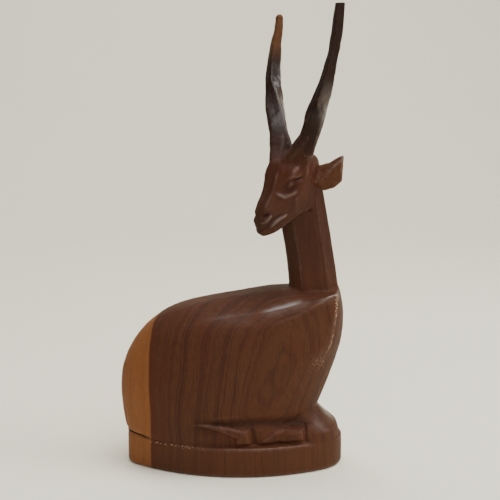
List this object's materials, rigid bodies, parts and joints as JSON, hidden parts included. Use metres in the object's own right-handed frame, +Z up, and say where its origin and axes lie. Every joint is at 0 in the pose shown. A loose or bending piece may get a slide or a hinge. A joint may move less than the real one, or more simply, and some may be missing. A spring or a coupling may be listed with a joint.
{
  "type": "carved antelope statue",
  "caption": "Free-standing hardwood carving of a resting antelope looking back over its body, with let-in horns and ears, on an oval plinth.",
  "frame": {"origin": "on the underside, in the middle of the plinth's length and width", "axes": "+Z up, +X towards the chest end of the plinth, +Y towards the animal's right side"},
  "size_m": [0.1223, 0.06, 0.25],
  "materials": {
    "billet": "waxed satin, dark heartwood with a pale sapwood band at the rump",
    "horn_wood": "waxed satin, knife-faceted heartwood",
    "ear_wood": "waxed satin heartwood"
  },
  "bodies": {
    "root": {"carved_body": "billet", "left_horn": "horn_wood", "right_horn": "horn_wood", "left_ear": "ear_wood", "right_ear": "ear_wood"}
  },
  "joints": []
}
